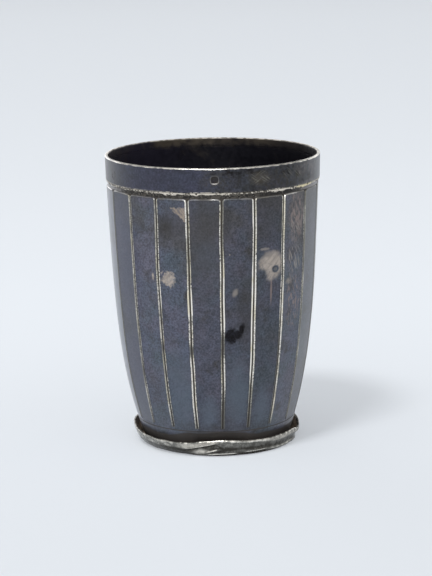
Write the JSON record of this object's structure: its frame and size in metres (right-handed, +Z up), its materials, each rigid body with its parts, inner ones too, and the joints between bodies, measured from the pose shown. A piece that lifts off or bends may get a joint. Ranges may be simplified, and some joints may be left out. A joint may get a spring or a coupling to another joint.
{
  "type": "silver beaker",
  "caption": "Tapered drinking beaker of tarnished silver sheet with long chased panels, a plain lip band, an inset base and a low moulded foot bent by wear.",
  "frame": {"origin": "centre of the foot on the table it stands on", "axes": "+Z up along the beaker's axis, -Y towards the groove nearest the viewer in the picture"},
  "size_m": [0.072, 0.072, 0.098],
  "materials": {
    "tarnished_silver": "dark blue-grey tarnish, worn bright along the panel edges",
    "worn_silver": "bright worn silver with dark crevices",
    "inside_silver": "near-black tarnish",
    "silver_solder": "blotchy pale solder",
    "dark_solder": "brown-black oxidised solder"
  },
  "bodies": {
    "root": {"lip_band": "tarnished_silver", "panelled_wall": "tarnished_silver", "base_disc": "inside_silver", "foot_plate": "inside_silver", "foot_moulding": "worn_silver", "lip_solder": "silver_solder", "base_solder": "dark_solder", "foot_solder": "dark_solder"}
  },
  "joints": []
}
